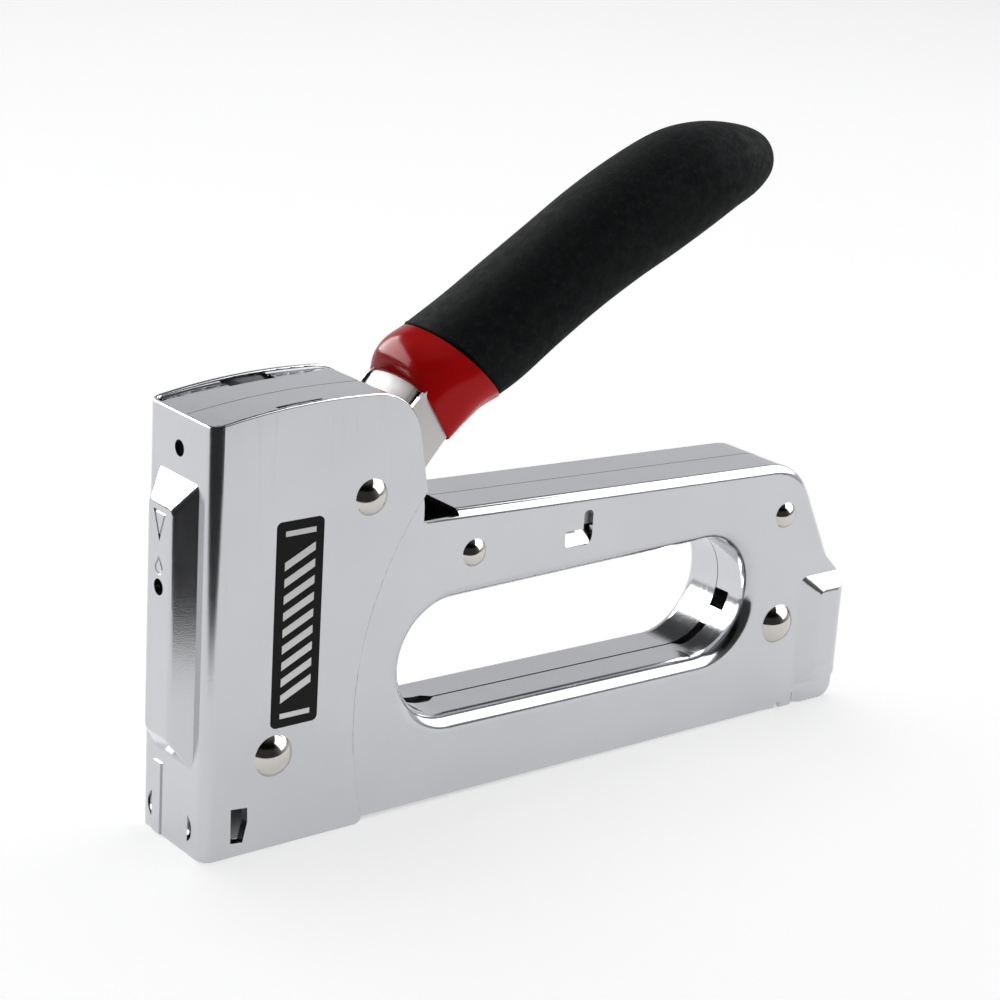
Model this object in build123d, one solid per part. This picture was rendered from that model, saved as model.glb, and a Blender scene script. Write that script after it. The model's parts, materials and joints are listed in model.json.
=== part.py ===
"""Light-duty hand staple gun: folded steel shells, sprung driver, squeeze handle, rear-loading magazine.

Frame: +X runs from the nose to the rear, +Y to the right of a user looking forwards, +Z up from the
resting plane. Outlines below are written from the nose cover's front face; every piece is shifted by
-centre_x when it is saved, so that the origin ends up under the middle of the whole tool.
"""
from build123d import *
import math
import os

# ---- driving dimensions, mm ----------------------------------------------------------------------
sheet = 1.0                      # steel sheet of the cover and the shells
cover_half_width = 12.0          # outside of the nose cover
shell_half_width = 11.0          # outside of the two shells
cover_bend = 2.5                 # outside radius of the cover's two front corners
opening_bend = 3.2               # outside radius of the fold round the hand opening
back_bend = 2.2                  # the same, along the arm's top and the slope behind it
bulge_corner = 4.5               # rounding of the bulges' rear corner, seen from above
nose_top_bend = 1.0              # the same, under the cover's rim; sharp on the inside
seam_gap = 0.2                   # gap between the two shells along the middle
rib_front_x = -4.0               # front of the pressed rib on the nose
bulge_half_width = 13.0          # outside of the pressed bulges at the rear
dome_rise = 0.55                 # height of a rivet's head against its radius
rear_x = 174.5                   # rearmost face of the shells
centre_x = (rib_front_x + rear_x) / 2

pivot_x, pivot_z = 36.7, 70.3    # handle pivot
squeeze_angle = 24.0             # travel of the handle, degrees
fork_reach = 30.2                # from the pivot forward to the plunger's cross pin
fork_top_front, fork_top_rear = (3.4, 64.2), (26.0, 69.05)
plate_inner_y, plate_outer_y = 8.9, 9.75
spine_half_width = 7.45
cross_pin_radius, pin_half_length = 1.2, 9.85
running_clearance = 0.05

blade_front_x, blade_thickness, blade_half_width = 1.6, 0.8, 5.5
spring_x, spring_radius, spring_wire = 16.4, 6.2, 1.5
seat_z = 84.5                    # underside of the upper spring seat
shelf_z = 40.0                   # top of the plunger's shelf

channel_half_width, channel_top_z, channel_end_x = 7.2, 14.5, 166.0
rail_half_width, rail_top_z, rail_end_x = 4.6, 9.3, 160.0
rail_front_x, rail_bottom_z, rail_sheet = 2.6, 1.6, 0.8
staple_wire, staple_half_crown, strip_end_x = 0.75, 5.65, 40.0
rod_z, rod_radius = 5.4, 1.0
pusher_front_x, pusher_rear_x = 40.2, 52.0
latch_pin_x, latch_pin_z = 171.6, 3.4

# rivets: x, z, head radius, shank radius, outside half width of what they clamp
main_rivet = (pivot_x, pivot_z, 3.8, 2.0, cover_half_width)
nose_rivet = (15.8, 19.8, 4.4, 2.2, cover_half_width)
arm_front_rivet = (63.9, 53.9, 3.0, 1.6, shell_half_width)
arm_rear_rivet = (152.9, 47.9, 3.0, 1.6, shell_half_width)
rear_rivet = (153.6, 21.5, 4.6, 2.2, shell_half_width)
all_rivets = (main_rivet, nose_rivet, arm_front_rivet, arm_rear_rivet, rear_rivet)

# grip sections: x, z of the centre, direction of the axis in degrees, half height, half width
grip_sections = (
    (63.0, 91.9, 44.0, 11.2, 12.5),
    (70.6, 96.0, 36.0, 11.1, 12.5),
    (80.6, 102.4, 33.0, 10.9, 12.4),
    (91.0, 108.8, 31.0, 11.0, 12.3),
    (101.4, 114.8, 28.5, 11.5, 12.3),
    (112.0, 120.1, 25.0, 11.8, 12.4),
    (122.4, 124.8, 20.0, 11.4, 12.2),
    (130.4, 127.2, 15.0, 10.0, 11.2),
    (137.6, 128.2, 11.0, 8.1, 9.1),
    (142.9, 128.9, 8.0, 5.6, 6.4),
    (145.3, 129.2, 8.0, 2.6, 3.0),
)
# collar sections: the same, then the corner radius
collar_sections = (
    (52.65, 84.75, 32.0, 7.8, 10.5, 3.2),
    (54.75, 87.7, 39.9, 9.1, 11.3, 5.0),
    (58.15, 90.05, 43.4, 10.2, 12.0, 7.5),
    (63.0, 91.9, 44.0, 10.9, 12.3, 9.8),
)


# ---- helpers -------------------------------------------------------------------------------------
def slab(sketch, y_low, y_high):
    """A flat outline in X and Z made thick from y_low to y_high."""
    return Pos(0, y_low, 0) * extrude(Plane.XZ * sketch, amount=y_high - y_low, dir=(0, 1, 0))


def block(x, y, z):
    """A box from three (low, high) pairs."""
    size = [high - low for low, high in (x, y, z)]
    middle = [(high + low) / 2 for low, high in (x, y, z)]
    return Pos(*middle) * Box(*size)


def bar(x, z, radius, y_low, y_high):
    """A round bar along Y."""
    return slab(Pos(x, z) * Circle(radius), y_low, y_high)


def tube(x, z, outer, inner, y_low, y_high):
    return bar(x, z, outer, y_low, y_high) - bar(x, z, inner, y_low, y_high)


def polygon(points):
    return make_face(Polyline(*points, close=True))


def rounded(corners):
    """A closed outline from (x, z, corner radius) triples."""
    points = [(x, z) for x, z, _ in corners]
    return make_face(FilletPolyline(*points, radius=[r for _, _, r in corners], close=True))


def right_of(piece):
    """The same piece on the other side of the tool."""
    return mirror(piece, about=Plane.XZ)


def both_sides(piece):
    return piece + right_of(piece)


def plane_along(x, z, angle):
    """The plane square to a direction in the X-Z plane."""
    axis = (math.cos(math.radians(angle)), 0, math.sin(math.radians(angle)))
    return Plane(origin=(x, 0, z), x_dir=(0, 1, 0), z_dir=axis)


def save(name, piece):
    piece = Pos(-centre_x, 0, 0) * piece
    piece.label = name
    export_step(piece, f"parts/{name}.step")


# ---- nose cover ----------------------------------------------------------------------------------
def cover_side_outline():
    low_rear = (37.8, 1.6)
    waist = (35.9, 36.0)
    shoulder = (50.6, 69.2)
    edges = [
        Line((rib_front_x - 1, 0), (36.2, 0)),
        ThreePointArc((36.2, 0), (37.3, 0.5), low_rear),
        ThreePointArc(low_rear, (35.2, 18.0), waist),
        ThreePointArc(waist, (41.4, 54.0), shoulder),
        Line(shoulder, (47.8, 83.2)),
        ThreePointArc((47.8, 83.2), (44.3, 88.6), (38.4, 91.3)),
        ThreePointArc((38.4, 91.3), (20.0, 91.5), (0, 89.1)),
        Line((0, 89.1), (rib_front_x - 1, 89.1)),
        Line((rib_front_x - 1, 89.1), (rib_front_x - 1, 0)),
    ]
    return make_face(edges)


def frustum(x_base, x_face, base, face):
    """A pressed block along X: base and face are (half width, low z, high z)."""
    ends = []
    for x, (half_width, low, high) in ((x_base, base), (x_face, face)):
        plane = Plane(origin=(x, 0, (low + high) / 2), x_dir=(0, 1, 0), z_dir=(-1, 0, 0))
        ends.append(plane * Rectangle(2 * half_width, high - low))
    return loft(ends)


def wrap(inset, rear):
    """The cover's bent strip filled in, seen from above."""
    half = cover_half_width - inset
    outline = Pos((inset + rear) / 2, 0) * Rectangle(rear - inset, 2 * half)
    solid = extrude(outline, amount=93)
    front_edges = solid.edges().filter_by(Axis.Z).group_by(Axis.X)[0]
    return fillet(front_edges, cover_bend - inset)


def nose_rib(inset):
    face = (4.4 - inset * 0.35, 24.4 + inset * 0.6, 71.6 - inset * 0.6)
    base = (8.3 - inset * 0.35, 16.9 + inset * 0.6, 78.1 - inset * 0.6)
    return frustum(1.0, rib_front_x + inset, base, face)


def engraved_marks():
    """Plain outlines of a funnel and a drop above the lower hole."""
    funnel = polygon([(-2.3, 70.3), (2.3, 70.3), (0, 64.2)])
    funnel -= polygon([(-1.55, 69.85), (1.55, 69.85), (0, 65.7)])
    drop = Pos(0, 58.8) * Circle(1.4) + polygon([(-1.3, 59.3), (1.3, 59.3), (0, 61.3)])
    drop -= Pos(0, 58.8) * Circle(0.95) + polygon([(-0.8, 59.2), (0.8, 59.2), (0, 60.5)])
    marks = Plane(origin=(rib_front_x, 0, 0), x_dir=(0, -1, 0), z_dir=(-1, 0, 0)) * (funnel + drop)
    return extrude(marks, amount=0.25, both=True)


def half_spindle(y, depth, side):
    """The tool that presses a slit open at the foot of the nose: straight at y, bulging towards side."""
    low, high = 2.7, 8.35
    lens = make_face([
        ThreePointArc((0, low), (depth, (low + high) / 2), (0, high)),
        Line((0, high), (0, low)),
    ])
    spindle = revolve(Plane.XZ * lens, axis=Axis.Z)
    half = spindle & block((-3, 3), (0, 3) if side > 0 else (-3, 0), (0, 12))
    return Pos(0, y, 0) * half


def nose_cover():
    cover = wrap(0, 60) - wrap(sheet, 61)
    rib = nose_rib(0)
    slanted = [edge for edge in rib.edges() if edge.bounding_box().size.X > 1]
    rib = fillet(slanted, 2.0)
    rib = fillet(rib.edges().group_by(Axis.X)[0], 1.4)
    cover = cover + rib - nose_rib(sheet)
    cover += block((-0.3, 0.5), (4.1, 6.7), (0.0, 15.5))
    cover = cover & slab(cover_side_outline(), -13, 13)
    cover = rounded_rim(cover)
    cover -= half_spindle(-6.0, 1.6, -1) + half_spindle(7.6, 1.5, 1)
    for z in (54.9, 82.2):
        cover -= Pos(0, 0, z) * Rot(0, 90, 0) * Cylinder(1.66, 12)
    cover -= side_window(-13, 13)
    cover -= engraved_marks()
    for x, z, _, shank, _ in (main_rivet, nose_rivet):
        cover -= bar(x, z, shank + running_clearance, -13, 13)
    return cover


def rounded_rim(cover):
    """Round both edges of the sheet along the top, and the outer edge down the rear."""
    chosen = []
    for edge in cover.edges():
        middle, size = edge.center(), edge.bounding_box().size
        across_sheet = size.X < 0.01 and size.Z < 0.01 and size.Y < 1.1
        on_outside = abs(abs(middle.Y) - cover_half_width) < 0.01
        along_top = middle.Z > 88
        down_rear = on_outside and middle.X > 33 and middle.Z > 3
        if not across_sheet and (along_top or down_rear):
            chosen.append(edge)
    return fillet(chosen, 0.4)


def side_window(y_low, y_high):
    return slab(polygon([(6.2, 10.4), (10.0, 10.0), (10.1, 6.9), (9.1, 2.7), (6.3, 3.0)]), y_low, y_high)


# ---- shells --------------------------------------------------------------------------------------
def shell_outline():
    return rounded([
        (1.2, 1.0, 0), (151.0, 0.4, 0), (157.5, 0.0, 0), (173.2, 0.0, 3.4), (173.3, 6.0, 0.5),
        (174.5, 8.4, 0.8), (rear_x, 28.8, 1.2), (169.9, 33.3, 0), (156.7, 59.75, 14.0),
        (51.6, 64.05, 0), (49.6, 72.0, 0), (46.4, 84.0, 3.0), (41.5, 90.5, 2.0),
        (20.0, 91.1, 190.0), (1.2, 88.7, 0),
    ])


def hand_opening():
    front = Pos(60.3, 31.2) * Circle(13.0)
    rear = Pos(130.0, 31.2) * Circle(14.0)
    return make_hull([front.edge(), rear.edge()])


def side_edges(solid, y, wanted):
    """Edges in the side face whose middle (x, z) is wanted."""
    chosen = []
    for edge in solid.edges():
        low, high = edge.bounding_box().min, edge.bounding_box().max
        in_side = abs(low.Y - y) < 0.01 and abs(high.Y - y) < 0.01
        if in_side and wanted(edge.center().X, edge.center().Z):
            chosen.append(edge)
    return chosen


def around_opening(x, z):
    return 44 < x < 149 and 12 < z < 50


def along_back(x, z):
    """The arm's top and the slope behind it."""
    return (x > 60 and z > 50) or (x > 160 and z > 33)


def nose_top(x, z):
    return x < 41 and z > 85


def bulge(inset):
    """The bulge pressed out beside the magazine's rear end."""
    ends = []
    rear = rear_x + 8
    for depth in (3.0, 0.0):
        y = -(bulge_half_width - inset - depth)
        front = 165.4 + inset * 0.6 - 2.6 * depth
        low, high = 9.2 + inset * 0.6 - 2.2 * depth, 27.6 - inset * 0.6 + 2.0 * depth
        plane = Plane(origin=((front + rear) / 2, y, (low + high) / 2), x_dir=(1, 0, 0), z_dir=(0, -1, 0))
        ends.append(plane * Rectangle(rear - front, high - low))
    pressed = loft(ends)
    slanted = [edge for edge in pressed.edges() if edge.bounding_box().size.Y > 1]
    corners = [edge for edge in slanted if edge.center().X < rear_x]
    pressed = fillet(corners, 4.2 - inset * 0.6)
    return fillet(pressed.edges().group_by(Axis.Y)[0], 2.2 - inset * 0.8)


def shell_body(inset):
    folds = ((around_opening, opening_bend), (along_back, back_bend), (nose_top, nose_top_bend))
    outline = shell_outline() - hand_opening()
    if inset:
        outline = offset(outline, -inset)
    outside = -(shell_half_width - inset)
    solid = slab(outline, outside, 0)
    for wanted, radius in folds:
        if radius > inset:
            solid = fillet(side_edges(solid, outside, wanted), radius - inset)
    solid += bulge(inset) & slab(outline, -20, -5)
    return solid & rear_corner(inset)


def rear_corner(inset):
    """Everything in front of the rear face, with the bulge's corner rounded as seen from above."""
    size = (300, 2 * (bulge_half_width - inset))
    plan = Pos(rear_x - inset - size[0] / 2, 0) * Rectangle(*size)
    solid = extrude(plan, amount=100)
    corners = solid.edges().filter_by(Axis.Z).group_by(Axis.X)[-1]
    return fillet(corners, bulge_corner - inset)


def lanced_tab():
    """The tongue left in the arm's slot, pressed inwards along its upper edge."""
    section = polygon([(-11.0, 50.9), (-10.2, 50.4), (-8.3, 53.5), (-9.1, 54.1)])
    return Pos(88.2, 0, 0) * extrude(Plane.YZ * section, amount=6.8)


def pressed_shell():
    """The left-hand shell without the cuts that only one side has."""
    inside = -(shell_half_width - sheet)
    shell = shell_body(0) - shell_body(sheet)
    shell -= block((0, 172.4), (inside, 1), (-2, 2.6))
    shell -= block((0, 4), (inside, 1), (-2, 86.6))
    shell -= block((0, 2.7), (-12, -9.4), (-2, 95))
    shell -= block((40.8, 59.6), (inside, 1), (60, 95))
    shell -= block((172, 176), (-6.2, 1), (-2, 27))
    shell -= block((-5, 180), (-seam_gap / 2, 1), (-5, 100))
    shell -= block((50.5, 59.6), (-12, 1), (62.4, 70))
    shell -= tapered_slot([(53.0, -1.7), (61.5, -1.7), (63.9, 0), (53.0, 0)])
    shell -= block((60, 133), (-0.25, 1), (15, 19))
    shell -= block((16.0, 26.5), (-10.95, -8.0), (86, 95))
    shell -= side_window(-12, -9)
    shell -= slot_in_arm()
    shell -= slab(Pos(156.2, 0.6) * Circle(0.9), -12, -9)
    shell -= block((155.3, 157.1), (-12, -9), (-1, 0.6))
    shell -= Pos(162, -11.7, 1.0) * Cylinder(1.6, 4)
    for x, z, _, shank, _ in all_rivets:
        shell -= bar(x, z, shank + running_clearance, -12, -9)
    return shell + lanced_tab()


def tapered_slot(outline):
    """A lanced slot beside the seam on the hand opening's floor, from its outline seen from above."""
    return extrude(polygon(outline), amount=21)


def left_shell(shell):
    """The left-hand shell has a window and a slot at the rear of the hand opening."""
    window = block((141, 148), (-4.3, 1), (24.5, 28.7))
    return shell - window - tapered_slot([(131.0, 0), (132.5, -2.3), (141.0, -2.3), (141.0, 0)])


def slot_in_arm():
    """An L-shaped lanced slot through the side of the arm."""
    upright = rounded([(92.8, 58.4, 1.1), (95.3, 58.4, 1.1), (95.3, 51.0, 1.6), (92.8, 51.0, 0.3)])
    foot = rounded([(88.0, 54.5, 0.6), (95.2, 54.2, 0.3), (95.2, 50.6, 1.6), (88.0, 50.9, 0.9)])
    return slab(upright + foot, -12, -9)


# ---- rivets, spacers and bush --------------------------------------------------------------------
def rivet(x, z, head, shank, half_width):
    height = dome_rise * head
    ball = (head ** 2 + height ** 2) / (2 * height)
    dome = bar(x, z, head, -half_width - height, -half_width)
    dome = dome & (Pos(x, -half_width - height + ball, z) * Sphere(ball))
    return both_sides(dome) + bar(x, z, shank, -half_width, half_width)


def spacer_tubes():
    tubes = tube(15.8, 19.8, 3.7, 2.25, -10, 10)
    tubes += tube(63.9, 53.9, 2.7, 1.65, -10, 10)
    tubes += tube(152.9, 47.9, 2.7, 1.65, -10, 10)
    return tubes + tube(153.6, 21.5, 3.7, 2.25, -10, 10)


def pivot_bush():
    return tube(pivot_x, pivot_z, 3.0, 2.0 + running_clearance, -10, 10)


# ---- parts fixed inside the shells ---------------------------------------------------------------
def spring_seat():
    plate = block((5.0, 27.0), (-9.95, 9.95), (seat_z, seat_z + 1.5))
    return plate + Pos(spring_x, 0, seat_z - 1.5) * Cylinder(4.4, 3.0)


def guide_plate():
    upright = block((2.5, 4.0), (-9.9, 9.9), (15.0, 32.0))
    return upright + block((2.5, 23.0), (-9.9, 9.9), (32.0, 33.5))


def bumper_pad():
    pad = block((5.0, 22.0), (-6.5, 6.5), (33.5, 37.8))
    return fillet(pad.edges().filter_by(Axis.Z), 2.0)


def channel_solid(x, half_width, z, thickness):
    """An upside-down U channel along X."""
    outer = block(x, (-half_width, half_width), z)
    half_inside = half_width - thickness
    return outer - block((x[0] - 1, x[1] + 1), (-half_inside, half_inside), (z[0] - 1, z[1] - thickness))


def magazine_channel():
    return channel_solid((2.6, channel_end_x), channel_half_width, (1.2, channel_top_z), 1.0)


def arm_brace():
    brace = channel_solid((70.0, 146.0), 9.9, (48.0, 58.6), 1.0)
    upper_corners = brace.edges().filter_by(Axis.X).group_by(Axis.Z)[-1]
    room_for_tabs = block((87.0, 96.0), (-12, 12), (47.0, 55.0))
    return fillet(upper_corners, 0.9) - block((141.0, 150.0), (-12, 12), (45.0, 57.0)) - room_for_tabs


def side_labels():
    label = rounded([(14.8, 25.6, 1.2), (25.6, 25.6, 1.2), (25.6, 68.4, 1.2), (14.8, 68.4, 1.2)])
    return both_sides(slab(label, -cover_half_width - 0.15, -cover_half_width))


def coil(radius, wire, pitch, length):
    """A round-wire spring along Z from 0 to length, between wire centres."""
    path = Helix(pitch, length, radius)
    section = Plane(origin=path @ 0, z_dir=path % 0) * Circle(wire / 2)
    return sweep(section, path, is_frenet=True)


def lever_return_spring():
    wire = 0.9
    turns = Rot(90, 0, 0) * coil(4.0, wire, 1.3, 3.9)
    return Pos(pivot_x, 1.95, pivot_z) * turns


# ---- handle --------------------------------------------------------------------------------------
def grip_line(offset_up, first, last):
    """Points beside the grip's centre line."""
    points = []
    for x, z, angle, _, _ in grip_sections[first:last]:
        lean = math.radians(angle)
        points.append((x - offset_up * math.sin(lean), z + offset_up * math.cos(lean)))
    return points


def lever_plate_outline():
    fork = [(4.6, 58.0), fork_top_front, fork_top_rear]
    front = [(33.0, 75.2), (42.0, 81.8), (48.8, 88.4), (56.0, 93.2)]
    back = [(55.9, 79.3), (51.6, 74.3), (45.5, 66.0), (37.0, 62.0), (30.0, 61.5)]
    return polygon(fork + front + grip_line(5.6, 1, 6) + grip_line(-5.6, 0, 6)[::-1] + back)


def lever_plate():
    plate = slab(lever_plate_outline(), -plate_outer_y, -plate_inner_y)
    plate -= bar(pivot_x, pivot_z, 3.0 + running_clearance, -10, -7)
    for x, z in tie_points():
        plate -= bar(x, z, 1.5, -10, -7)
    return plate


def tie_points():
    return [(grip_sections[k][0], grip_sections[k][1]) for k in (2, 4)]


def lever_spine():
    """The top web between the two plates, ending just inside the collar."""
    top = [(44.9, 86.5), (48.8, 90.9), (52.5, 94.2)] + grip_line(5.6, 1, 6)
    under = [(45.8, 85.7), (49.6, 90.0), (53.3, 93.0)] + grip_line(4.4, 1, 6)
    return slab(polygon(top + under[::-1]), -spine_half_width, spine_half_width)


def lever_tie_rivets():
    pins = [bar(x, z, 1.5, -plate_outer_y, plate_outer_y) for x, z in tie_points()]
    return pins[0] + pins[1]


def lever_metal():
    plates = both_sides(slab(lever_plate_outline(), -plate_outer_y, -plate_inner_y))
    return plates + lever_spine() + lever_tie_rivets()


def grip():
    sections = []
    for x, z, angle, half_height, half_width in grip_sections:
        sections.append(plane_along(x, z, angle) * Ellipse(half_width, half_height))
    body = loft(sections)
    return body - lever_metal()


def grip_collar():
    sections = []
    for x, z, angle, half_height, half_width, corner in collar_sections:
        outline = RectangleRounded(2 * half_width, 2 * half_height, corner)
        sections.append(plane_along(x, z, angle) * outline)
    hollow = polygon([
        (44.0, 86.0), (48.6, 90.9), (53.0, 94.4), (61.0, 96.5), (66.0, 87.5), (56.6, 79.6), (50.0, 74.0),
    ])
    inside = slab(lever_plate_outline() + hollow, -plate_outer_y, plate_outer_y)
    return loft(sections) - inside - lever_spine()


# ---- plunger and its spring ----------------------------------------------------------------------
def fork_top_z():
    """Height of the fork's upper edge under the cross pin, handle at rest."""
    (x_front, z_front), (x_rear, z_rear) = fork_top_front, fork_top_rear
    slope = (z_rear - z_front) / (x_rear - x_front)
    return z_front + slope * (pivot_x - fork_reach - x_front)


def driver_blade():
    thickness = (blade_front_x, blade_front_x + blade_thickness)
    return block(thickness, (-blade_half_width, blade_half_width), (0.6, 62.0))


def plunger_frame():
    front = blade_front_x + blade_thickness
    frame = block((front, front + 1.6), (-7.0, 7.0), (shelf_z - 2.0, 71.0))
    frame += block((front, 23.5), (-7.0, 7.0), (shelf_z - 2.0, shelf_z))
    frame += both_sides(block((front, 8.7), (-7.0, -5.4), (60.0, 71.0)))
    return frame - bar(pivot_x - fork_reach, cross_pin_z(), cross_pin_radius, -8, 8)


def cross_pin_z():
    return fork_top_z() + cross_pin_radius + 0.35


def plunger_cross_pin():
    x = pivot_x - fork_reach
    return bar(x, cross_pin_z(), cross_pin_radius, -pin_half_length, pin_half_length)


def power_spring():
    turns = coil(spring_radius, spring_wire, 5.3, seat_z - shelf_z - spring_wire - 0.2)
    return Pos(spring_x, 0, shelf_z + spring_wire / 2 + 0.1) * turns


# ---- magazine ------------------------------------------------------------------------------------
def staple_rail():
    height = (rail_bottom_z, rail_top_z)
    rail = channel_solid((rail_front_x, rail_end_x), rail_half_width, height, rail_sheet)
    rail -= block((strip_end_x + 4, rail_end_x - 5), (-1.3, 1.3), (rail_top_z - 2, rail_top_z + 1))
    front_stop = block((rail_front_x, rail_front_x + 2), (-3.8, 3.8), (2.4, rail_top_z - rail_sheet))
    return rail + front_stop


def guide_rod():
    length = rail_end_x - rail_front_x - 2
    return Pos(rail_front_x + 2 + length / 2, 0, rod_z) * Rot(0, 90, 0) * Cylinder(rod_radius, length)


def staple_strip():
    height = (2.0, rail_top_z + staple_wire + 0.1)
    return channel_solid((rail_front_x, strip_end_x), staple_half_crown, height, staple_wire)


def pusher():
    saddle = block((pusher_front_x, pusher_rear_x), (-5.65, 5.65), (2.2, 11.2))
    saddle -= block((pusher_front_x - 1, pusher_rear_x + 1), (-4.75, 4.75), (1.0, rail_top_z + 0.15))
    tongue = block((pusher_rear_x - 6, pusher_rear_x), (-1.1, 1.1), (7.0, 10.0))
    ring = block((pusher_rear_x - 6, pusher_rear_x), (-3.0, 3.0), (2.6, 8.2))
    bore = Pos(pusher_rear_x, 0, rod_z) * Rot(0, 90, 0) * Cylinder(rod_radius + running_clearance, 20)
    return saddle + tongue + ring - bore


def pusher_spring():
    turns = Rot(0, 90, 0) * coil(2.0, 0.6, 5.0, rail_end_x - pusher_rear_x - 0.8)
    return Pos(pusher_rear_x + 0.4, 0, rod_z) * turns


def magazine_end_block():
    body = block((rail_end_x, 170.2), (-5.9, 5.9), (1.2, 13.0))
    ears = both_sides(block((170.0, 173.0), (-5.9, -4.6), (1.2, 6.0)))
    return fillet(body.edges().filter_by(Axis.X), 0.8) + ears - bar(latch_pin_x, latch_pin_z, 0.8, -7, 7)


def latch_pin():
    return bar(latch_pin_x, latch_pin_z, 0.8, -5.9, 5.9)


def magazine_latch():
    tab = block((170.9, 172.3), (-4.5, 4.5), (2.0, 15.2))
    tab = fillet(tab.edges().filter_by(Axis.X).group_by(Axis.Z)[-1], 2.0)
    tab += bar(latch_pin_x, latch_pin_z, 1.35, -4.5, 4.5)
    return tab - bar(latch_pin_x, latch_pin_z, 0.8 + running_clearance, -7, 7)


def main():
    os.makedirs("parts", exist_ok=True)
    shell = pressed_shell()
    plate = lever_plate()
    save("nose_cover", nose_cover())
    save("left_shell", left_shell(shell))
    save("right_shell", right_of(shell))
    save("main_pivot_rivet", rivet(*main_rivet))
    save("nose_rivet", rivet(*nose_rivet))
    save("arm_rivets", rivet(*arm_front_rivet) + rivet(*arm_rear_rivet))
    save("rear_rivet", rivet(*rear_rivet))
    save("spacer_tubes", spacer_tubes())
    save("pivot_bush", pivot_bush())
    save("spring_seat", spring_seat())
    save("guide_plate", guide_plate())
    save("bumper_pad", bumper_pad())
    save("magazine_channel", magazine_channel())
    save("arm_brace", arm_brace())
    save("side_labels", side_labels())
    save("lever_return_spring", lever_return_spring())
    save("lever_left_plate", plate)
    save("lever_right_plate", right_of(plate))
    save("lever_spine", lever_spine())
    save("lever_tie_rivets", lever_tie_rivets())
    save("grip", grip())
    save("grip_collar", grip_collar())
    save("driver_blade", driver_blade())
    save("plunger_frame", plunger_frame())
    save("plunger_cross_pin", plunger_cross_pin())
    save("power_spring", power_spring())
    save("staple_rail", staple_rail())
    save("guide_rod", guide_rod())
    save("staple_strip", staple_strip())
    save("pusher", pusher())
    save("pusher_spring", pusher_spring())
    save("magazine_end_block", magazine_end_block())
    save("latch_pin", latch_pin())
    save("magazine_latch", magazine_latch())


main()
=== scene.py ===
"""Looks of the staple gun: bright plated sheet, foam grip, red collar, springs and staples on the model."""
import json
import math

import bmesh
import bpy
from mathutils import Matrix, Vector


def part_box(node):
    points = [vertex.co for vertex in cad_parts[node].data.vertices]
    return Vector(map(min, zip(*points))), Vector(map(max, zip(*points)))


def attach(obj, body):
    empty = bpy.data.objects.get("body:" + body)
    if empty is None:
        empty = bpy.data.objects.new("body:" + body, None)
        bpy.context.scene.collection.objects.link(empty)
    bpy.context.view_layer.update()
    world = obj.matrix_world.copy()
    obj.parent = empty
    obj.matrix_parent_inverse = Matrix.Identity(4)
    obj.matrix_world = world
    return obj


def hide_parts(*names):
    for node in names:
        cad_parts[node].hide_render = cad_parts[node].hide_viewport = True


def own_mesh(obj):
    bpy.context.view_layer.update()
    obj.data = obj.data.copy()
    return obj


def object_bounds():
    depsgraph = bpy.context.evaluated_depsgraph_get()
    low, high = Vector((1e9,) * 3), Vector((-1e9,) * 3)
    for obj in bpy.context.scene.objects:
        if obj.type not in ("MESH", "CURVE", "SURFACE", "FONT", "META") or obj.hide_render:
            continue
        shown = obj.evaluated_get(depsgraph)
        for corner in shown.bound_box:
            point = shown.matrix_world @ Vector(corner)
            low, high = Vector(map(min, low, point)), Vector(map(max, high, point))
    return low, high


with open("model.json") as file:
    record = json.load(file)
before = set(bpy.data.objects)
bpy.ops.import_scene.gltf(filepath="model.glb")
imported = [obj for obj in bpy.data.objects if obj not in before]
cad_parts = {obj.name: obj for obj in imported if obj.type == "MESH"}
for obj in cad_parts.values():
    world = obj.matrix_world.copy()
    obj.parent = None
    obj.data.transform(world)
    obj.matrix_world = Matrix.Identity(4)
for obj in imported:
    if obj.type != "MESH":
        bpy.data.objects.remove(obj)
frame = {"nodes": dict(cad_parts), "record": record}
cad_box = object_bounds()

MM = 0.001

# ---- places and sizes that follow the frame, in metres -------------------------------------------
nose_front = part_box("nose_cover")[0].x + 4 * MM        # the nose cover's flat front, behind its pressed rib
cover_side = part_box("nose_cover")[1].y                 # outside of the nose cover
middle = (Vector(cad_box[0]) + Vector(cad_box[1])) / 2

# grip sections: x back from the nose's front, z, axis direction in degrees, half height, half width, in mm
grip_sections = (
    (63.0, 91.9, 44.0, 11.2, 12.5),
    (70.6, 96.0, 36.0, 11.1, 12.5),
    (80.6, 102.4, 33.0, 10.9, 12.4),
    (91.0, 108.8, 31.0, 11.0, 12.3),
    (101.4, 114.8, 28.5, 11.5, 12.3),
    (112.0, 120.1, 25.0, 11.8, 12.4),
    (122.4, 124.8, 20.0, 11.35, 12.2),
    (130.4, 127.2, 15.0, 9.94, 11.2),
    (137.6, 128.2, 11.0, 8.1, 9.1),
    (142.9, 128.9, 8.0, 5.6, 6.4),
    (145.3, 129.2, 8.0, 2.6, 3.0),
)
grip_squareness = 2.1
# rolled front lip of the grip: how far inside the first section and how far back from it, in mm
grip_lip = ((2.2, 0.5), (1.0, 0.0), (0.5, 0.06), (0.15, 0.3), (0.02, 0.7))

# collar sections: top and bottom as (x, z) in the middle plane, half width, squareness above and below
collar_sections = (
    ((48.5, 91.4), (56.8, 78.1), 10.5, 2.8, 8.0),
    ((48.9, 94.7), (60.6, 80.7), 11.3, 2.5, 5.0),
    ((51.1, 97.5), (65.2, 82.6), 12.0, 2.3, 3.0),
    ((55.1, 99.6), (71.0, 84.2), 12.4, 2.2, 2.4),
)
# rounded front rim of the collar and the core behind it: place along the sections and inset in mm
collar_rim = ((0.04, 0.06), (0.0, 0.3), (0.0, 0.8), (0.04, 1.1))
collar_wall = 1.2
core_rings = ((0.16, 1.25), (1.0, 1.3), (1.8, 1.4))

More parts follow.
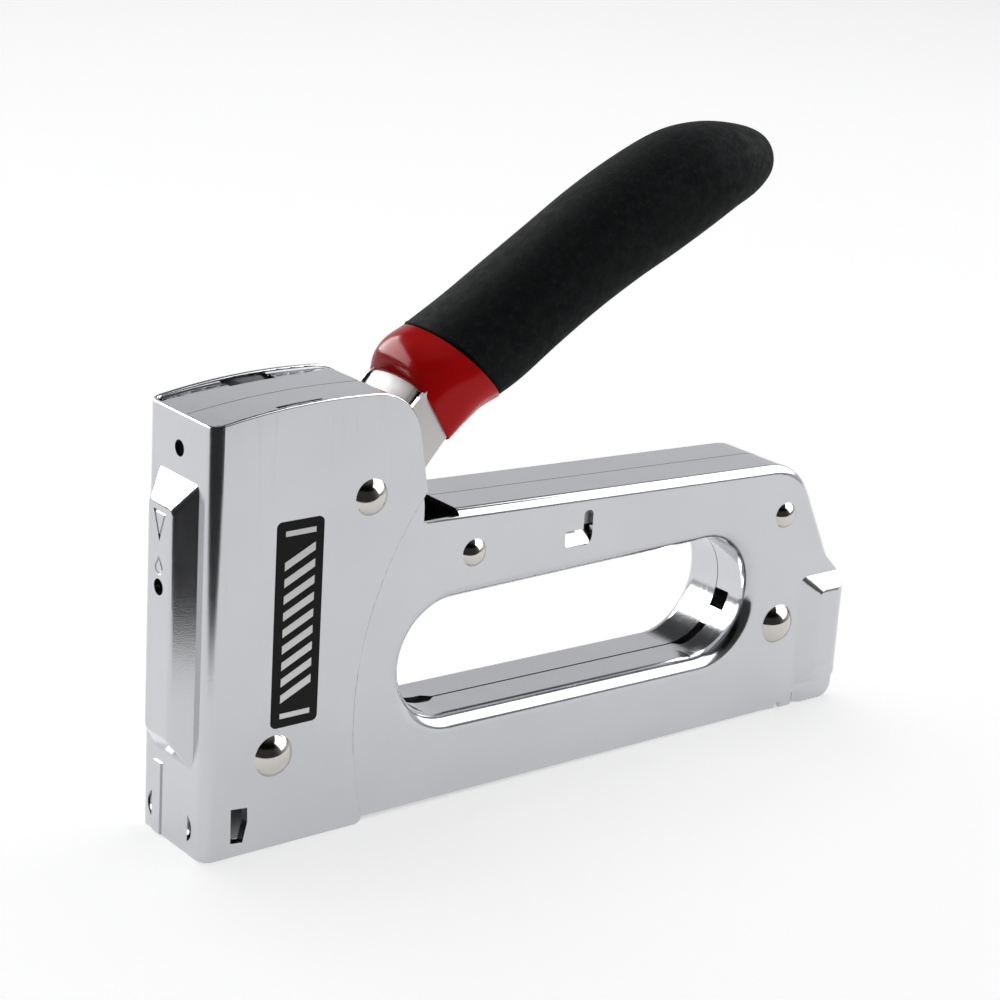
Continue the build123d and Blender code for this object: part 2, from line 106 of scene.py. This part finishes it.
# lever web: its first points as (x, z), its height over the grip's axis and its section, in mm
web_front = ((44.9, 86.0), (46.9, 88.5), (48.9, 90.8), (52.6, 93.9))
web_above_axis = 5.2
web_half_width, web_drop, web_thickness = 7.45, 1.25, 1.0

chrome = (0.572, 0.582, 0.60)

camera_azimuth, camera_elevation, camera_roll = -38.97, 18.19, 3.68
camera_lens, sensor = 91.0, 36.0
camera_place = (-239.1, -392.7, 225.7)                 # mm, from the nose's front

# lights: name, direction from the tool, distance, width, height, power, mirrored or only lighting
softboxes = (
    ("right_softbox", (0.75, -0.25, 0.55), 0.8, 1.2, 0.75, 7.8, True),
    ("back_softbox", (-0.45, 0.75, 0.36), 0.8, 1.0, 0.44, 12.5, True),
    ("top_fill", (0.1, 0.15, 1), 1.7, 2.8, 2.8, 23, False),
    ("front_fill", (-0.35, -0.9, 0.35), 1.2, 2.0, 1.2, 1.6, False),
)
floor_near, floor_far, floor_half_width = 0.172, 1.8, 1.2
# brightness of the room by height (the sine of the elevation), and the level direction it's brightest in
room_greys = (
    (0.0, 0.60), (0.03, 0.66), (0.42, 0.72), (0.50, 0.20), (0.56, 0.06), (0.80, 0.05), (1.0, 0.30),
)
bright_side = (0.63, 0.77, 0)


def place(x, y, z):
    """A point given in mm from the nose's front."""
    return Vector((nose_front + x * MM, y * MM, z * MM))


# ---- material tools ------------------------------------------------------------------------------
class Paint:
    """A node material with short ways to add and join nodes."""

    def __init__(self, name, color, metallic=0.0, roughness=0.5, **more):
        self.material = bpy.data.materials.new(name)
        self.material.use_nodes = True
        self.tree = self.material.node_tree
        self.shader = self.tree.nodes["Principled BSDF"]
        values = {"Base Color": (*color, 1), "Metallic": metallic, "Roughness": roughness, **more}
        for socket, value in values.items():
            self.shader.inputs[socket].default_value = value

    def node(self, kind, inputs=None, **settings):
        node = self.tree.nodes.new(kind)
        for key, value in settings.items():
            setattr(node, key, value)
        for socket, value in (inputs or {}).items():
            target = node.inputs[socket]
            if isinstance(value, bpy.types.NodeSocket):
                self.tree.links.new(value, target)
            else:
                target.default_value = value
        return node

    def where(self):
        return self.node("ShaderNodeTexCoord").outputs["Object"]

    def noise(self, scale, detail=2.0, stretch=(1, 1, 1), roughness=0.5):
        spot = self.node("ShaderNodeMapping", {"Vector": self.where(), "Scale": stretch}).outputs[0]
        return self.node("ShaderNodeTexNoise", {"Vector": spot, "Scale": scale, "Detail": detail,
                                                "Roughness": roughness}).outputs["Fac"]

    def grade(self, value, low, high, out_low, out_high):
        return self.node("ShaderNodeMapRange", {"Value": value, "From Min": low, "From Max": high,
                                                "To Min": out_low, "To Max": out_high}).outputs[0]

    def blend(self, factor, first, second):
        mix = self.node("ShaderNodeMix", {"Factor": factor}, data_type="RGBA")
        for socket, value in ((mix.inputs[6], first), (mix.inputs[7], second)):
            if isinstance(value, bpy.types.NodeSocket):
                self.tree.links.new(value, socket)
            else:
                socket.default_value = (*value, 1)
        return mix.outputs[2]

    def maths(self, operation, first, second):
        return self.node("ShaderNodeMath", {0: first, 1: second}, operation=operation).outputs[0]

    def bump(self, height, distance, strength=1.0, below=None):
        node = self.node("ShaderNodeBump", {"Height": height, "Distance": distance, "Strength": strength})
        if below is not None:
            self.tree.links.new(below, node.inputs["Normal"])
        return node.outputs[0]

    def join(self, output, socket):
        self.tree.links.new(output, self.shader.inputs[socket])


def plated_steel(name, color, roughness, grain):
    """Bright plated sheet: smudges in the gloss, faint waves of the pressed sheet and a fine grain."""
    paint = Paint(name, color, 1.0, roughness)
    smudge = paint.noise(38, 4)
    scratch = paint.noise(900, 2, (1, 1, 0.04))
    gloss = paint.maths("ADD", paint.grade(smudge, 0.3, 0.7, roughness * 0.8, roughness * 1.25),
                        paint.grade(scratch, 0.55, 0.75, 0, grain))
    paint.join(gloss, "Roughness")
    tint = paint.blend(paint.grade(paint.noise(60, 3), 0.35, 0.65, 0, 1), [c * 0.97 for c in color], color)
    paint.join(tint, "Base Color")
    waves = paint.bump(paint.noise(22, 1), 0.00006)
    fine = paint.bump(paint.noise(3500, 2), 0.000002, 0.6, waves)
    paint.join(fine, "Normal")
    return paint


# ---- the materials -------------------------------------------------------------------------------
def chrome_cover():
    """Plated sheet whose front corners and rib sides are left a little rough by the press."""
    paint = plated_steel("chrome_cover", chrome, 0.12, 0.05)
    axes = paint.node("ShaderNodeSeparateXYZ", {0: paint.where()}).outputs
    sideways = paint.node("ShaderNodeMath", {0: axes[1]}, operation="ABSOLUTE").outputs[0]
    in_front = paint.grade(axes[0], nose_front + 1.6 * MM, nose_front + 2.6 * MM, 1, 0)
    off_centre = paint.grade(sideways, 4.0 * MM, 4.8 * MM, 0, 1)
    below_rim = paint.grade(axes[2], 87 * MM, 88.5 * MM, 1, 0)
    rough = paint.maths("MULTIPLY", paint.maths("MULTIPLY", in_front, off_centre), below_rim)
    grains = paint.grade(paint.noise(4600, 2), 0.35, 0.65, 0, 1)
    smooth = paint.shader.inputs["Normal"].links[0].from_socket
    paint.join(paint.bump(paint.maths("MULTIPLY", grains, rough), 0.000005, 1.0, smooth), "Normal")
    return paint.material


def foam_grip():
    """Matte black foam rubber with a fine pebble grain."""
    paint = Paint("foam_grip", (0.005, 0.0065, 0.007), 0.0, 0.78, **{"Specular IOR Level": 0.14})
    spot = paint.where()
    cells = paint.node("ShaderNodeTexVoronoi", {"Vector": spot, "Scale": 1500}, feature="SMOOTH_F1")
    soft = paint.noise(420, 4)
    height = paint.maths("ADD", paint.maths("MULTIPLY", cells.outputs[0], 0.7), soft)
    paint.join(paint.bump(height, 0.00016, 0.55), "Normal")
    dust = paint.grade(paint.noise(900, 3), 0.52, 0.72, 0, 1)
    paint.join(paint.blend(dust, (0.0022, 0.0036, 0.0040), (0.0072, 0.0100, 0.0108)), "Base Color")
    paint.join(paint.grade(soft, 0.3, 0.7, 0.70, 0.9), "Roughness")
    return paint.material


def red_plastic():
    """Glossy moulded plastic with slight waves."""
    paint = Paint("red_plastic", (0.62, 0.004, 0.005), 0.0, 0.18, **{"Specular IOR Level": 0.13})
    paint.join(paint.grade(paint.noise(300, 3), 0.3, 0.7, 0.15, 0.22), "Roughness")
    paint.join(paint.blend(paint.noise(40, 2), (0.56, 0.003, 0.004), (0.63, 0.005, 0.006)), "Base Color")
    paint.join(paint.bump(paint.noise(260, 2), 0.00001), "Normal")
    return paint.material


def black_print():
    """Satin black of the labels."""
    paint = Paint("black_print", (0.005, 0.005, 0.006), 0.0, 0.5, **{"Specular IOR Level": 0.15})
    paint.join(paint.grade(paint.noise(500, 3), 0.3, 0.7, 0.42, 0.58), "Roughness")
    return paint.material


def white_print():
    """Satin white of the bars on the labels."""
    paint = Paint("white_print", (0.94, 0.94, 0.93), 0.0, 0.45)
    paint.join(paint.blend(paint.noise(700, 3), (0.92, 0.92, 0.91), (0.96, 0.96, 0.95)), "Base Color")
    return paint.material


def rubber_pad():
    """Matte rubber of the bumper."""
    paint = Paint("rubber_pad", (0.03, 0.03, 0.032), 0.0, 0.7)
    paint.join(paint.bump(paint.noise(800, 3), 0.00003), "Normal")
    return paint.material


def dull_zinc():
    """Zinc gone dull: a pale matt skin with only a weak mirror under it."""
    paint = plated_steel("dull_zinc", (0.74, 0.73, 0.715), 0.45, 0.08)
    paint.shader.inputs["Metallic"].default_value = 0.12
    return paint.material


def floor_card():
    """Pale card that glows a little, so that it nearly meets the white background."""
    paint = Paint("floor_card", (0.86, 0.86, 0.86), 0.0, 0.9,
                  **{"Specular IOR Level": 0.1, "Emission Color": (1, 1, 1, 1), "Emission Strength": 0.50})
    paint.join(paint.blend(paint.noise(3, 2), (0.855, 0.855, 0.855), (0.865, 0.865, 0.865)), "Base Color")
    return paint.material


slot_materials = {
    "chromed_steel": plated_steel("plated_shell", chrome, 0.14, 0.06).material,
    "rivet_nickel": plated_steel("rivet_nickel_plate", (0.60, 0.575, 0.54), 0.09, 0.04).material,
    "lever_steel": plated_steel("bright_zinc", (0.57, 0.56, 0.55), 0.28, 0.08).material,
    # the inner steel is painted darker than plain steel so the inside seen through the side window looks
    # shaded: painted shade
    "inner_steel": plated_steel("steel_darkened_as_painted_shade", (0.28, 0.28, 0.285), 0.32, 0.15).material,
    "hard_steel": plated_steel("ground_steel", (0.46, 0.46, 0.47), 0.22, 0.12).material,
    "spring_steel": plated_steel("spring_wire", (0.42, 0.41, 0.40), 0.3, 0.1).material,
    "staple_wire": plated_steel("galvanised_wire", (0.74, 0.75, 0.76), 0.24, 0.1).material,
    "grip_black": foam_grip(),
    "collar_red": red_plastic(),
    "label_black": black_print(),
    "bumper_rubber": rubber_pad(),
}
cover_material = chrome_cover()
web_material = dull_zinc()
print_material = white_print()


def paint_cad_nodes():
    """Every CAD node gets the material of its slot; the nose cover has its own."""
    for entry in frame["record"]["subparts"]:
        node = frame["nodes"][entry["node"]]
        for holder in node.material_slots:
            holder.material = slot_materials[entry["material_slot"]]
    for holder in frame["nodes"]["nose_cover"].material_slots:
        holder.material = cover_material


# ---- mesh tools ----------------------------------------------------------------------------------
def new_piece(name, vertices, faces, material, body, smooth=True):
    """A mesh object that rides on a body and belongs to a material slot."""
    mesh = bpy.data.meshes.new(name)
    mesh.from_pydata([tuple(v) for v in vertices], [], faces)
    mesh.validate()
    shape = bmesh.new()
    shape.from_mesh(mesh)
    bmesh.ops.recalc_face_normals(shape, faces=shape.faces)
    shape.to_mesh(mesh)
    shape.free()
    mesh.polygons.foreach_set("use_smooth", [smooth] * len(mesh.polygons))
    mesh.materials.append(material)
    piece = bpy.data.objects.new(name, mesh)
    bpy.context.scene.collection.objects.link(piece)
    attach(piece, body)
    return piece


def ring_faces(rings, around, closed_loop=False):
    """Quads between rings of points; a closed loop also joins the last ring to the first."""
    faces = []
    for r in range(rings if closed_loop else rings - 1):
        for k in range(around):
            a, b = r * around + k, r * around + (k + 1) % around
            following = ((r + 1) % rings) * around
            faces.append((a, b, following + (k + 1) % around, following + k))
    return faces


def squircle(angle, half_width, half_height, squareness):
    """A point on a rounded outline: 2 is an ellipse, more is squarer."""
    c, s = math.cos(angle), math.sin(angle)
    reach = (abs(c) ** squareness + abs(s) ** squareness) ** (-1 / squareness)
    return half_width * c * reach, half_height * s * reach


def section_ring(x, z, lean, half_height, half_width, above, below, around):
    """Points of one section, square to a direction that leans up by lean degrees."""
    lean = math.radians(lean)
    ring = []
    for k in range(around):
        squareness = above if 2 * k < around else below
        across, up = squircle(2 * math.pi * k / around, half_width, half_height, squareness)
        ring.append(place(x - up * math.sin(lean), across, z + up * math.cos(lean)))
    return ring


def spline(values, t):
    """Catmull-Rom through a list of equal-length tuples; t runs from 0 to the last index."""
    k = min(int(t), len(values) - 2)
    f = t - k
    a = values[max(k - 1, 0)]
    b, c = values[k], values[k + 1]
    d = values[min(k + 2, len(values) - 1)]
    point = []
    for p, q, r, s in zip(a, b, c, d):
        bend = 2 * p - 5 * q + 4 * r - s
        twist = 3 * q - p - 3 * r + s
        point.append(0.5 * (2 * q + (r - p) * f + bend * f ** 2 + twist * f ** 3))
    return point


# ---- grip and collar -----------------------------------------------------------------------------
def grip_ring(section, inset, around):
    """One section of the grip, drawn in by inset."""
    x, z, lean, half_height, half_width = section
    return section_ring(x, z, lean, half_height - inset, half_width - inset,
                        grip_squareness, grip_squareness, around)


def capped(rings, first_point, last_point):
    """Vertices and faces of a skin over rings, closed by a fan at each end."""
    around = len(rings[0])
    points = [p for ring in rings for p in ring] + [first_point, last_point]
    last = (len(rings) - 1) * around
    faces = ring_faces(len(rings), around)
    faces += [(last + (k + 1) % around, last + k, len(points) - 1) for k in range(around)]
    faces += [(k, (k + 1) % around, len(points) - 2) for k in range(around)]
    return points, faces


def middle_of(ring):
    """The mean of a ring's points."""
    return sum(ring, Vector()) / len(ring)


def make_grip():
    """The foam sleeve: a rolled lip in front, then the swelling body to its round end."""
    around, steps = 96, 12
    x, z, lean, half_height, half_width = grip_sections[0]
    rings = []
    for inset, back in grip_lip:
        back_x, back_z = back * math.cos(math.radians(lean)), back * math.sin(math.radians(lean))
        rings.append(grip_ring((x + back_x, z + back_z, lean, half_height, half_width), inset, around))
    for t in range(2, (len(grip_sections) - 1) * steps + 1):
        rings.append(grip_ring(spline(grip_sections, t / steps), 0, around))
    last_x, last_z = grip_sections[-1][:2]
    tip = place(last_x + 0.3, 0, last_z + 0.05)
    points, faces = capped(rings, middle_of(rings[0]), tip)
    grip = new_piece("foam_grip", points, faces, slot_materials["grip_black"], "handle")
    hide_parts("grip")


def collar_ring(t, inset, around):
    """One section of the collar; t counts along the sections."""
    rows = [(*top, *low, *widths) for top, low, *widths in collar_sections]
    top_x, top_z, low_x, low_z, half_width, above, below = spline(rows, t)
    half_height = math.hypot(top_x - low_x, top_z - low_z) / 2
    lean = math.degrees(math.atan2(low_x - top_x, top_z - low_z))
    return section_ring((top_x + low_x) / 2, (top_z + low_z) / 2, lean,
                        half_height - inset, half_width - inset, above, below, around)


def make_collar():
    """The red moulding with a rounded front rim, and the dark core that fills it around the lever."""
    around, steps = 96, 10
    outer = [collar_ring(t / steps, 0, around) for t in range(1, 3 * steps + 1)]
    rim = [collar_ring(t, inset, around) for t, inset in collar_rim]
    inner = [collar_ring(t / steps, collar_wall, around) for t in range(1, 2 * steps)]
    rings = outer[::-1] + rim + inner
    points = [p for ring in rings for p in ring]
    collar = new_piece("red_collar", points, ring_faces(len(rings), around), slot_materials["collar_red"],
                       "handle")
    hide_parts("grip_collar")
    core = [collar_ring(t, inset, around) for t, inset in core_rings]
    points, faces = capped(core, middle_of(core[0]), middle_of(core[-1]))
    new_piece("grip_core", points, faces, slot_materials["grip_black"], "handle")


def make_lever_web():
    """The lever's top web: bent over the collar's front rim and arched from plate to plate."""
    steps, across = 8, 16
    edge_rounding, edge_sharpness = 0.12, 12
    path = list(web_front)
    for x, z, lean, _, _ in grip_sections[1:6]:
        lean = math.radians(lean)
        path.append((x - web_above_axis * math.sin(lean), z + web_above_axis * math.cos(lean)))
    rings = []
    for t in range((len(path) - 1) * steps + 1):
        x, z = spline(path, t / steps)
        ahead_x, ahead_z = spline(path, min((t + 1) / steps, len(path) - 1))
        behind_x, behind_z = spline(path, max((t - 1) / steps, 0))
        run = math.hypot(ahead_x - behind_x, ahead_z - behind_z)
        up_x, up_z = -(ahead_z - behind_z) / run, (ahead_x - behind_x) / run
        ring = []
        for k in range(2 * across + 2):
            upper = k <= across
            share = 2 * (k if upper else 2 * across + 1 - k) / across - 1
            rounding = edge_rounding * abs(share) ** edge_sharpness
            rise = -web_drop * share ** 2 + (-rounding if upper else rounding - web_thickness)
            ring.append(place(x + up_x * rise, share * web_half_width, z + up_z * rise))
        rings.append(ring)
    points, faces = capped(rings, middle_of(rings[0]), middle_of(rings[-1]))
    web = new_piece("lever_web", points, faces, web_material, "handle")
    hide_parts("lever_spine")


# ---- springs -------------------------------------------------------------------------------------
def coil_points(radius, wire, turns, length, per_turn, around):
    """Rings of a round-wire compression spring along Z, wound closer towards its ends."""
    closing = 0.045
    rings = []
    count = int(turns * per_turn)
    for step in range(count + 1):
        turn = step / per_turn
        share = turn / turns
        rise = share - closing * math.sin(2 * math.pi * share)
        height = wire / 2 + (length - wire) * rise
        angle = 2 * math.pi * turn
        outward = Vector((math.cos(angle), math.sin(angle), 0))
        centre = outward * radius + Vector((0, 0, height))
        ring = []
        for k in range(around):
            a = 2 * math.pi * k / around
            ring.append(centre + (outward * math.cos(a) + Vector((0, 0, math.sin(a)))) * wire / 2)
        rings.append(ring)
    return rings


def make_spring(name, node, radius, wire, turns, turned, start, length, body):
    """A coil that replaces a CAD spring: its axis is Z turned by the matrix, from the start point."""
    around = 12
    rings = coil_points(radius, wire, turns, length, 32, around)
    points = [start + turned @ p for ring in rings for p in ring]
    last = (len(rings) - 1) * around
    faces = ring_faces(len(rings), around) + [tuple(range(around))[::-1], tuple(range(last, last + around))]
    spring = new_piece(name, points, faces, slot_materials["spring_steel"], body)
    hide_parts(node)
    return spring


def make_power_spring():
    """The wide spring over the driver: a fixed coil in the CAD spring's box, riding on the frame."""
    low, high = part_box("power_spring")
    centre = Vector(((low.x + high.x) / 2, (low.y + high.y) / 2, low.z))
    length = high.z - low.z
    spring = make_spring("driver_spring", "power_spring", 6.2 * MM, 1.5 * MM, 9, Matrix.Identity(3),
                         centre, length, "frame")
    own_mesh(spring)


def make_pusher_spring():
    """The thin spring on the magazine's rod: a fixed coil in the CAD spring's box, riding on the magazine."""
    low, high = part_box("pusher_spring")
    start = Vector((low.x, (low.y + high.y) / 2, (low.z + high.z) / 2))
    length = high.x - low.x
    along_x = Matrix.Rotation(math.pi / 2, 3, "Y")
    spring = make_spring("feed_spring", "pusher_spring", 2.0 * MM, 0.6 * MM, 26, along_x,
                         start, length, "magazine")
    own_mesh(spring)


# ---- staples -------------------------------------------------------------------------------------
def make_staples():
    """Each staple in the glued strip as its own bent wire with rounded shoulders."""
    low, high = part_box("staple_strip")
    wire, shoulder = 0.75 * MM, 0.9 * MM
    around, bend_steps = 8, 6
    half = (high.y - low.y) / 2 - wire / 2
    top = high.z - wire / 2
    path = [Vector((0, -half, low.z))]
    for k in range(bend_steps + 1):
        turn = math.pi / 2 * k / bend_steps
        path.append(Vector((0, -half + shoulder * (1 - math.cos(turn)),
                            top - shoulder * (1 - math.sin(turn)))))
    path += [Vector((0, -p.y, p.z)) for p in path[::-1]]
    last = (len(path) - 1) * around
    points, faces = [], []
    for n in range(int((high.x - low.x) / wire)):
        x = low.x + wire * (n + 0.5)
        base = len(points)
        for k, p in enumerate(path):
            before, after = path[max(k - 1, 0)], path[min(k + 1, len(path) - 1)]
            run = (after - before).normalized()
            side = Vector((0, -run.z, run.y))
            for a in range(around):
                turn = 2 * math.pi * (a + 0.5) / around
                offset = Vector((math.cos(turn), 0, 0)) + side * math.sin(turn)
                points.append(Vector((x, p.y, p.z)) + offset * wire * 0.5)
        faces += [tuple(base + i for i in face) for face in ring_faces(len(path), around)]
        faces += [tuple(base + k for k in range(around)), tuple(base + last + k for k in range(around))]
    strip = new_piece("staples", points, faces, slot_materials["staple_wire"], "magazine")
    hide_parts("staple_strip")


# ---- labels --------------------------------------------------------------------------------------
def label_shapes(low, high):
    """White shapes on the label, as outlines in X and Z: slanted bars between two level ones."""
    margin, level, slanted = 1.9 * MM, 1.1 * MM, 1.7 * MM
    first, spacing, rise = 5.2, 3.45, 3.3 * MM
    left, right = low.x + margin, high.x - margin
    shapes = []
    for z in (low.z + margin, high.z - margin - level):
        shapes.append(((left, z), (right, z), (right, z + level), (left, z + level)))
    for k in range(9):
        z = low.z + (first + spacing * k) * MM
        shapes.append(((left, z), (right, z + rise), (right, z + rise + slanted), (left, z + slanted)))
    return shapes


def make_label_print(side):
    """The print on one label; side is -1 on the left and 1 on the right."""
    low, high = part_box("side_labels")
    name = "label_print_right" if side > 0 else "label_print_left"
    height, print_thickness = 0.17 * MM, 0.04 * MM
    y = side * (cover_side + height)
    points, faces = [], []
    for shape in label_shapes(low, high):
        base = len(points)
        for out in (0, print_thickness * side):
            points += [(x, y + out, z) for x, z in shape]
        faces += [(base, base + 1, base + 2, base + 3), (base + 4, base + 5, base + 6, base + 7)]
        faces += [(base + k, base + (k + 1) % 4, base + 4 + (k + 1) % 4, base + 4 + k) for k in range(4)]
    new_piece(name, points, faces, print_material, "frame", smooth=False)


# ---- camera and light ----------------------------------------------------------------------------
def add_camera():
    """The camera at the photograph's angle, rolled a little about its own axis."""
    azimuth, elevation, roll = (math.radians(a) for a in (camera_azimuth, camera_elevation, camera_roll))
    back = Vector((math.sin(azimuth) * math.cos(elevation), -math.cos(azimuth) * math.cos(elevation),
                   math.sin(elevation)))
    level = (-back).cross(Vector((0, 0, 1))).normalized()
    down = (-back).cross(level)
    right = math.cos(roll) * level - math.sin(roll) * down
    below = math.sin(roll) * level + math.cos(roll) * down
    camera = bpy.data.objects.new("camera", bpy.data.cameras.new("camera"))
    camera.data.lens = camera_lens
    camera.data.sensor_width = sensor
    camera.data.clip_start = 0.01
    turned = Matrix((right, -below, back)).transposed().to_4x4()
    camera.matrix_world = Matrix.Translation(place(*camera_place)) @ turned
    bpy.context.scene.collection.objects.link(camera)
    bpy.context.scene.camera = camera


def add_softbox(name, direction, distance, width, height, power, mirrored):
    """A rectangular light that looks at the middle of the tool; either only mirrored, or only lighting."""
    direction = Vector(direction).normalized()
    lamp = bpy.data.lights.new(name, "AREA")
    lamp.shape = "RECTANGLE"
    lamp.size, lamp.size_y = width, height
    lamp.energy = power
    box = bpy.data.objects.new(name, lamp)
    turned = direction.to_track_quat("Z", "Y").to_matrix().to_4x4()
    box.matrix_world = Matrix.Translation(middle + direction * distance) @ turned
    box.visible_glossy = mirrored
    box.visible_diffuse = not mirrored
    box.visible_camera = False
    bpy.context.scene.collection.objects.link(box)


def add_world():
    """A dim room: darker ahead of the tool, lighter behind it, and plain white where the camera sees it."""
    world = bpy.data.worlds.new("studio")
    world.use_nodes = True
    bpy.context.scene.world = world
    tree = world.node_tree
    tree.nodes.clear()

    def node(kind, inputs=None, **settings):
        new = tree.nodes.new(kind)
        for key, value in settings.items():
            setattr(new, key, value)
        for socket, value in (inputs or {}).items():
            if isinstance(value, bpy.types.NodeSocket):
                tree.links.new(value, new.inputs[socket])
            else:
                new.inputs[socket].default_value = value
        return new

    direction = node("ShaderNodeTexCoord").outputs["Generated"]
    height = node("ShaderNodeSeparateXYZ", {0: direction}).outputs[2]
    ramp = node("ShaderNodeValToRGB", {0: height})
    ramp.color_ramp.elements[0].position = room_greys[0][0]
    ramp.color_ramp.elements[1].position = room_greys[-1][0]
    for position, _ in room_greys[1:-1]:
        ramp.color_ramp.elements.new(position)
    for element, (_, grey) in zip(ramp.color_ramp.elements, room_greys):
        element.color = (grey, grey, grey * 1.02, 1)
    behind = node("ShaderNodeVectorMath", {0: direction, 1: bright_side},
                  operation="DOT_PRODUCT").outputs["Value"]
    lift = node("ShaderNodeMapRange", {"Value": behind, "From Min": -0.75, "From Max": 0.75,
                                       "To Min": 0.06, "To Max": 1.0},
                interpolation_type="SMOOTHSTEP").outputs[0]
    room = node("ShaderNodeBackground", {"Color": ramp.outputs[0], "Strength": lift})
    plain = node("ShaderNodeBackground", {"Color": (1, 1, 1, 1), "Strength": 1.0})
    seen = node("ShaderNodeLightPath").outputs["Is Camera Ray"]
    mixed = node("ShaderNodeMixShader", {0: seen, 1: room.outputs[0], 2: plain.outputs[0]})
    node("ShaderNodeOutputWorld", {0: mixed.outputs[0]})


def add_floor():
    """A pale sheet under the tool. It ends a hand's width in front, so the corner mirrors the dark room."""
    facing = math.radians(camera_azimuth)
    near = Vector((math.sin(facing), -math.cos(facing), 0))
    side = Vector((near.y, -near.x, 0))
    down = Vector((0, 0, -0.02 * MM))
    corners = [near * along + side * across + down for along, across in (
        (floor_near, -floor_half_width), (floor_near, floor_half_width),
        (-floor_far, floor_half_width), (-floor_far, -floor_half_width))]
    mesh = bpy.data.meshes.new("floor")
    mesh.from_pydata(corners, [], [(0, 1, 2, 3)])
    mesh.materials.append(floor_card())
    floor = bpy.data.objects.new("floor", mesh)
    bpy.context.scene.collection.objects.link(floor)


def main():
    paint_cad_nodes()
    make_grip()
    make_collar()
    make_lever_web()
    make_power_spring()
    make_pusher_spring()
    make_staples()
    for side in (-1, 1):
        make_label_print(side)
    add_camera()
    add_world()
    add_floor()
    for softbox in softboxes:
        add_softbox(*softbox)
    bpy.context.scene.view_settings.view_transform = "Standard"


main()
